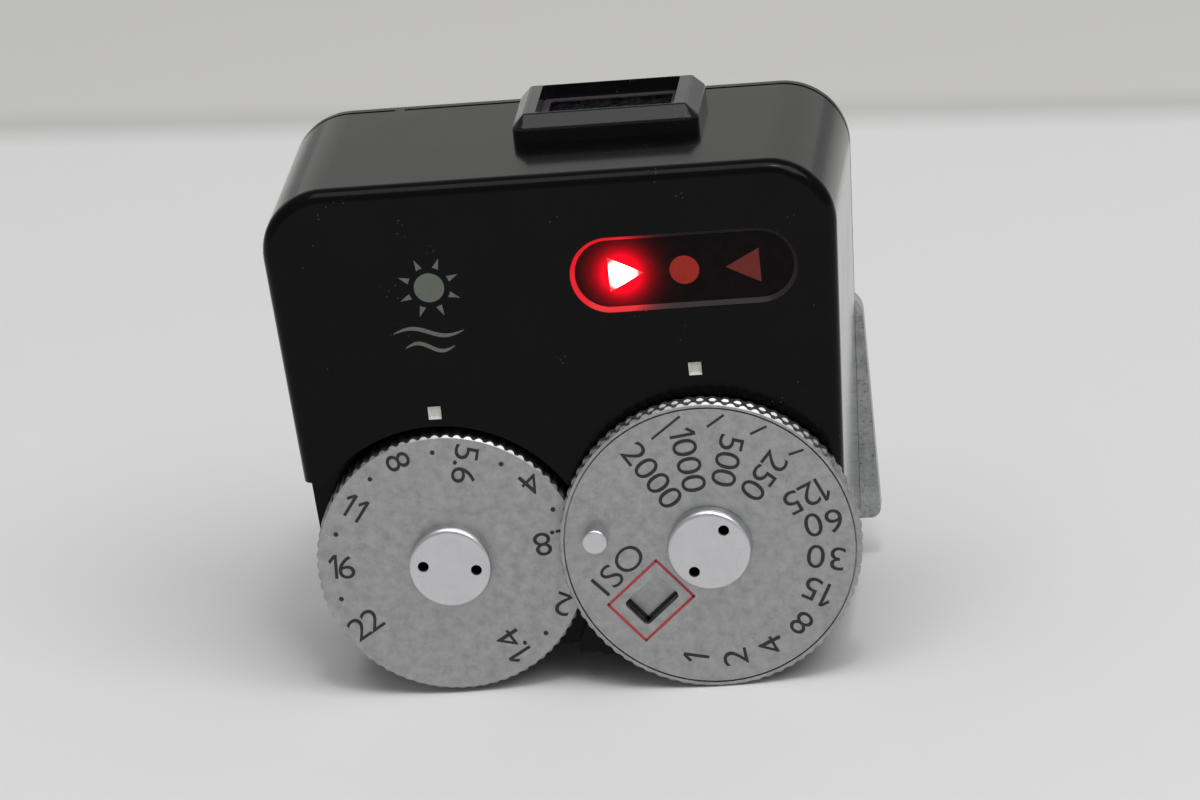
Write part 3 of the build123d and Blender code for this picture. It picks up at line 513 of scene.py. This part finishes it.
def round_points(radius, count, centre=(0.0, 0.0)):
    """The corners of a many-sided circle."""
    turns = [2 * math.pi * step / count for step in range(count)]
    return [(centre[0] + radius * math.cos(turn), centre[1] + radius * math.sin(turn)) for turn in turns]


def bar_points(start, end, width):
    """The four corners of a line of a given width between two points."""
    start, end = Vector(start), Vector(end)
    side = (end - start).orthogonal().normalized() * width / 2
    return [tuple(start + side), tuple(start - side), tuple(end - side), tuple(end + side)]


def finished(out, name):
    """Turns a bmesh into a mesh and frees it."""
    mesh = bpy.data.meshes.new(name)
    out.to_mesh(mesh)
    out.free()
    return mesh


# ---------------------------------------------------------------- print on the dials

# The built-in font: its figures' height as a share of its size, and how much wider they are drawn.
FIGURE_HEIGHT = 0.73
FIGURE_WIDTH = 1.15
# The share of the pitch that narrow letters take, and the width of the figure 1's stem.
NARROW = {"1": 0.8, ".": 0.45, "I": 0.33}
ONE_STROKE = 0.25
APERTURES = ("22", "16", "11", "8", "5.6", "4", "2.8", "2", "1.4")
APERTURE_START = 212.1
APERTURE_STEP = 34.0
APERTURE_TEXT = {"height": 1.95, "pitch": 1.28, "stroke": -0.004}
APERTURE_TEXT_EDGE = 9.72
HALF_STOP_RADIUS = 9.05
HALF_STOP_SIZE = 0.19
SPEEDS = ("1", "2", "4", "8", "15", "30", "60", "125", "250", "500", "1000", "2000")
EVEN_SPEEDS = 7
SPEED_START, SPEED_STEP = 258.0, 18.3
FAN_START, FAN_STEP = 384.3, 24.5
CLICK_START, CLICK_STEP = 259.0, 18.0
SPEED_TEXT = {"height": 1.97, "stroke": -0.004}
# A speed's pitch and its distance from the centre to its outer edge, by its number of figures.
PITCH_BY_LENGTH = {1: 1.47, 2: 1.62, 3: 1.42, 4: 1.47}
EDGE_BY_LENGTH = {1: 9.95, 2: 10.45, 3: 10.5, 4: 10.0}
UNDER_LEADER = ("250", "500")
UNDER_LEADER_EDGE = 9.15
LEADER_RIM = 10.6
LEADER_END = 9.55
LEADER_WIDTH = 0.19
LEADER_SWINGS = (3.3, 5.2, 7.0, 15.0)
ISO_TEXT = {"height": 2.0, "pitch": 1.93, "stroke": -0.015}
ISO_RADIUS, ISO_ANGLE, ISO_READING = 9.4, 198.5, 42.5
WINDOW_ANGLE = 220.2
WINDOW_RADIUS, WINDOW_LENGTH, WINDOW_WIDTH, WINDOW_LINE = 6.4, 5.2, 4.0, 0.22
# The painted shadow in the film speed window: where it stands, its length and width, and its bars' width.
SHADE_RADIUS, SHADE_LENGTH, SHADE_WIDTH, SHADE_LINE = 6.3, 3.6, 2.5, 0.3


def speed_angle(index):
    """Where a shutter speed stands: even steps up to 1/60, then fanned out for the longer numbers."""
    if index < EVEN_SPEEDS:
        return SPEED_START + SPEED_STEP * index
    return FAN_START + FAN_STEP * (index - EVEN_SPEEDS)


def scale_angle(index):
    """Where a shutter speed's click is on the rim."""
    return CLICK_START + CLICK_STEP * index


def print_label(target, dial, text, angle, edge, style):
    """A radial label that reads from the rim towards the centre."""
    join_into(target, text_mesh(text, **style), dial.placed(edge, angle, angle + 180))


def aperture_print(dial):
    """The apertures, with a dot at each half stop."""
    out = bmesh.new()
    for index, text in enumerate(APERTURES):
        angle = APERTURE_START - APERTURE_STEP * index
        print_label(out, dial, text, angle, APERTURE_TEXT_EDGE, APERTURE_TEXT)
    for index in range(len(APERTURES) - 1):
        angle = APERTURE_START - APERTURE_STEP * (index + 0.5)
        join_into(out, flat_shape(round_points(HALF_STOP_SIZE, 24)), dial.placed(HALF_STOP_RADIUS, angle, 0))
    return finished(out, "aperture_print")


def speed_print(dial):
    """The shutter speeds; those right under the end of a leader line stand further in."""
    out = bmesh.new()
    for index, text in enumerate(SPEEDS):
        edge = UNDER_LEADER_EDGE if text in UNDER_LEADER else EDGE_BY_LENGTH[len(text)]
        style = {"pitch": PITCH_BY_LENGTH[len(text)], **SPEED_TEXT}
        print_label(out, dial, text, speed_angle(index), edge, style)
    return finished(out, "speed_print")


def leader_print(dial):
    """The lines that join the fanned-out numbers to their clicks."""
    out = bmesh.new()
    first = SPEEDS.index(UNDER_LEADER[0])
    for step, swing in enumerate(LEADER_SWINGS):
        near = math.radians(scale_angle(first + step))
        away = near + math.radians(swing)
        rim = (LEADER_RIM * math.cos(near), LEADER_RIM * math.sin(near))
        end = (LEADER_END * math.cos(away), LEADER_END * math.sin(away))
        join_into(out, flat_shape(bar_points(rim, end, LEADER_WIDTH)), dial.placed(0, 0, 0))
    return finished(out, "leader_print")


def iso_print(dial):
    """The letters beside the film speed window."""
    out = bmesh.new()
    join_into(out, text_mesh("ISO", **ISO_TEXT), dial.placed(ISO_RADIUS, ISO_ANGLE, ISO_READING))
    return finished(out, "iso_print")


def window_print(dial):
    """The red frame round the film speed window."""
    out = bmesh.new()
    along, across = WINDOW_LENGTH / 2, WINDOW_WIDTH / 2
    corner = across + WINDOW_LINE / 2
    matrix = dial.placed(WINDOW_RADIUS, WINDOW_ANGLE, WINDOW_ANGLE)
    for side in (-1, 1):
        long_bar = bar_points((-along, side * across), (along, side * across), WINDOW_LINE)
        short_bar = bar_points((side * along, -corner), (side * along, corner), WINDOW_LINE)
        join_into(out, flat_shape(long_bar), matrix)
        join_into(out, flat_shape(short_bar), matrix)
    return finished(out, "window_print")


def window_painted_shadow(dial):
    """Painted shadow: black bars along the film speed window's outward edge and one long side, over the
    sunken disc, where the gap under the face lies in shade.
    """
    out = bmesh.new()
    along, across = SHADE_LENGTH / 2, SHADE_WIDTH / 2
    inset = SHADE_LINE / 2
    matrix = dial.placed(SHADE_RADIUS, WINDOW_ANGLE, WINDOW_ANGLE)
    lowered = Matrix.Translation((0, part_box("iso_scale_disc")[0].y - dial.front, 0)) @ matrix
    outer_bar = bar_points((along - inset, -across), (along - inset, across), SHADE_LINE)
    side_bar = bar_points((-along, across - inset), (along, across - inset), SHADE_LINE)
    join_into(out, flat_shape(outer_bar), lowered)
    join_into(out, flat_shape(side_bar), lowered)
    return finished(out, "window_painted_shadow")


# ---------------------------------------------------------------- emblem

EMBLEM_X, EMBLEM_Z = -9.7, 31.2
SUN_CENTRE = (0.4, 1.6)
SUN_RADIUS = 1.15
RAY_COUNT = 8
RAY_FROM, RAY_TO, RAY_HALF_WIDTH = 1.6, 2.45, 0.24
# Each wave's height in the emblem and half its length.
WAVES = ((-1.9, 2.7), (-3.1, 1.9))
WAVE_RISE = 0.35
WAVE_THICKNESS = 0.32
WAVE_STEPS = 32


def ray_points(turn):
    """The corners of one pointed ray of the sun."""
    along = Vector((math.cos(turn), math.sin(turn)))
    side = Vector((-along.y, along.x)) * RAY_HALF_WIDTH
    base = Vector(SUN_CENTRE) + along * RAY_FROM
    return [tuple(base + side), tuple(base - side), tuple(Vector(SUN_CENTRE) + along * RAY_TO)]


def wave_points(level, half):
    """The outline of one flowing stroke that thins out at its ends."""
    upper, lower = [], []
    for step in range(WAVE_STEPS + 1):
        share = step / WAVE_STEPS
        x = half * (2 * share - 1)
        y = level + WAVE_RISE * math.sin(2 * math.pi * share)
        thick = WAVE_THICKNESS * math.sin(math.pi * share) ** 0.6 + 0.02
        upper.append((x, y + thick / 2))
        lower.append((x, y - thick / 2))
    return upper + lower[::-1]


def emblem_mesh(centre):
    """A plain pictogram of light on a surface: a small sun over two flowing strokes."""
    out = bmesh.new()
    facing = Matrix((Vector((1, 0, 0)), Vector((0, 0, 1)), Vector((0, -1, 0)))).transposed().to_4x4()
    place = Matrix.Translation(centre) @ facing
    join_into(out, flat_shape(round_points(SUN_RADIUS, 32, SUN_CENTRE)), place)
    for ray in range(RAY_COUNT):
        join_into(out, flat_shape(ray_points(2 * math.pi * (ray + 0.5) / RAY_COUNT)), place)
    for level, half in WAVES:
        join_into(out, flat_shape(wave_points(level, half)), place)
    return finished(out, "emblem")


# ---------------------------------------------------------------- stage, lights and camera

# The floor's side in metres, a point on the far edge of the white sheet, and the edge's turn.
FLOOR_SIZE = 3.0
SHEET_EDGE = (-13.0, 135.5)
SHEET_TURN = -9.4
# The room's even light, and the colour of the glow behind.
ROOM_COLOUR = (0.96, 0.96, 0.98, 1.0)
ROOM_STRENGTH = 0.32
WARM_WHITE = (1.0, 0.98, 0.9)
CAMERA_AT = (63.72, -510.93, 201.64)
CAMERA_FORWARD = (-0.11416, 0.93562, -0.33404)
CAMERA_ROLL = -6.08
CAMERA_LENS = 213.0
SENSOR_WIDTH = 36.0


def make_stage():
    """A white sheet on a pale grey table; the sheet's far edge lies behind the object."""
    half = FLOOR_SIZE / 2
    edge = (SHEET_EDGE[0] * MM, SHEET_EDGE[1] * MM, 0)
    mesh = bpy.data.meshes.new("floor")
    corners = [(-half, -half, 0), (half, -half, 0), (half, half, 0), (-half, half, 0)]
    mesh.from_pydata(corners, [], [(0, 1, 2, 3)])
    mesh.materials.append(floor_finish("floor_finish", SHEET, TABLE, edge, math.radians(SHEET_TURN)))
    add_object("floor", mesh)


def area_light(name, at, size, power, colour=(1.0, 1.0, 1.0)):
    """A flat lamp at a place in metres, of a width and height in metres, that faces the object."""
    data = bpy.data.lights.new(name, "AREA")
    data.shape = "RECTANGLE"
    data.size, data.size_y = size
    data.energy = power
    data.color = colour
    made = add_object(name, data)
    made.location = at
    made.rotation_mode = "QUATERNION"
    made.rotation_quaternion = (-Vector(at)).to_track_quat("-Z", "Y")


def make_world():
    """Even light from all round."""
    world = bpy.data.worlds.new("room")
    world.use_nodes = True
    bpy.context.scene.world = world
    background = world.node_tree.nodes["Background"]
    background.inputs["Color"].default_value = ROOM_COLOUR
    background.inputs["Strength"].default_value = ROOM_STRENGTH


def make_lights():
    """Soft light from above and the right, a small lamp for highlights, and a wide glow behind."""
    area_light("soft_above", (-0.05, -0.32, 0.9), (0.6, 0.6), 2.4)
    area_light("lamp_above", (0.12, -0.42, 0.9), (0.1, 0.1), 0.8)
    area_light("wide_right", (0.6, -0.6, 1.1), (0.8, 0.8), 6.8)
    area_light("glow_behind", (0.0, 1.7, 0.75), (4.0, 1.1), 3.6, WARM_WHITE)


def make_look():
    """Plain colours, as a camera without a film look records them."""
    bpy.context.scene.view_settings.view_transform = "Standard"


def make_camera():
    """A long lens from the front and above, turned a little on its axis."""
    data = bpy.data.cameras.new("camera")
    data.lens = CAMERA_LENS
    data.sensor_width = SENSOR_WIDTH
    data.clip_start = 0.01
    camera = add_object("camera", data)
    camera.location = Vector(CAMERA_AT) * MM
    camera.rotation_mode = "QUATERNION"
    level = Vector(CAMERA_FORWARD).to_track_quat("-Z", "Y")
    camera.rotation_quaternion = level @ Quaternion((0, 0, 1), math.radians(CAMERA_ROLL))
    bpy.context.scene.camera = camera


# ---------------------------------------------------------------- putting it together


def cap_holes(node, turn):
    """The middles of a cap's two spanner holes, below its front face."""
    centre = middle_of(node)
    radius, turn = HOLE_RADIUS * MM, math.radians(turn)
    side = Vector((radius * math.cos(turn), 0, radius * math.sin(turn)))
    inside = Vector((centre.x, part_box(node)[0].y + HOLE_DEPTH * MM, centre.z))
    return [inside + side, inside - side]


def finish_nodes():
    """Gives every CAD node its material."""
    lit = middle_of("low_arrow") - Vector((LAMP_SHIFT * MM, 0, 0))
    rim_lit = lit - Vector((RIM_SHIFT * MM, 0, 0))
    finishes = {
        plastic("body_black_finish", BODY_BLACK, 0.2, 0.27, index=1.15, coat=1.0):
            ("front_housing", "back_cover", "measuring_button"),
        plastic("bezel_black_finish", BEZEL_BLACK, 0.2, 0.3, dust=0.45, index=1.26, coat=1.0):
            ("sensor_frame",),
        plastic("moulded_black_finish", MOULDED_BLACK, 0.45, 0.6):
            ("lamp_block", "meter_chip", "trimmers", "aperture_resistor", "speed_resistor",
             "switch_plunger", "button_switch", "battery_holder", "foot_spacer"),
        metal("dial_finish", DIAL_DARK, DIAL_LIGHT, 0.42):
            ("aperture_dial", "speed_ring", "speed_face", "iso_scale_disc"),
        cap_metal("left_cap_finish", cap_holes("aperture_cap", LEFT_HOLES_TURN)): ("aperture_cap",),
        cap_metal("right_cap_finish", cap_holes("speed_cap", RIGHT_HOLES_TURN)): ("speed_cap",),
        metal("post_finish", CAP_DARK, CAP_LIGHT, CAP_ROUGHNESS, CAP_MOTTLE): ("iso_post",),
        brushed("steel_finish", STEEL, 0.3, (1, 6, 1)):
            ("board_screws", "aperture_click_spring", "speed_click_spring", "battery_contact",
             "foot_screws", "foot_nut_plate"),
        brushed("brass_finish", BRASS, 0.3, (1, 6, 1)):
            ("aperture_shaft", "aperture_wiper", "speed_shaft", "speed_wiper"),
        brushed("cell_finish", PLATING, 0.18, (6, 1, 6)): ("inner_cell", "outer_cell", "battery_cap"),
        metal("screw_finish", SCREW_DARK, SCREW_LIGHT, 0.4): ("cover_screws",),
        plastic("board_finish", BOARD_GREEN, 0.3, 0.45): ("photocell_board", "circuit_board"),
        sign("dot_finish", DOT_DARK, DOT_LIGHT): ("ok_dot", "lamps"),
        sign("arrow_finish", ARROW_DARK, ARROW_LIGHT): ("high_arrow",),
        lit_sign("lit_sign_finish", lit, LAMP_STRENGTH): ("low_arrow",),
        print_ink("index_finish", INDEX_PALE, INDEX_WORN): ("aperture_index", "speed_index"),
        brushed("silicon_finish", SILICON, 0.25, (1, 1, 4)): ("photocell",),
        pebbled_lens("lens_finish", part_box("sensor_lens")[1].z): ("sensor_lens",),
        glow_window("window_finish", lit, rim_lit): ("led_window",),
        worn_metal("foot_finish", FOOT_DARK, FOOT_LIGHT, FOOT_STAIN, FOOT_BRIGHT): ("shoe_foot",),
    }
    for material, names in finishes.items():
        for name in names:
            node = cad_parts[name]
            node.data.materials.clear()
            node.data.materials.append(material)


def add_print():
    """Adds the thin print on the dials and the front, and the painted shadow in the film speed window."""
    ink = print_ink("ink_finish", INK, INK_WORN)
    red = print_ink("red_ink_finish", RED_INK, RED_INK_WORN)
    emblem = print_ink("emblem_finish", EMBLEM, EMBLEM_WORN)
    aperture = Dial("aperture_dial", "aperture_shaft")
    speed = Dial("speed_face", "speed_shaft")
    new_piece("aperture_print", aperture_print(aperture), ink, "aperture_control")
    new_piece("speed_print", speed_print(speed), ink, "speed_scale")
    new_piece("leader_print", leader_print(speed), ink, "speed_scale")
    new_piece("iso_print", iso_print(speed), ink, "speed_scale")
    new_piece("window_print", window_print(speed), red, "speed_scale")
    # A painted shadow in the film speed window, drawn in black ink.
    new_piece("window_painted_shadow", window_painted_shadow(speed), ink, "speed_scale")
    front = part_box("front_housing")[0].y
    centre = Vector((EMBLEM_X * MM, front - PRINT_LIFT * MM, EMBLEM_Z * MM))
    new_piece("emblem_print", emblem_mesh(centre), emblem, "meter_body")


finish_nodes()
add_print()
make_stage()
make_world()
make_lights()
make_look()
make_camera()
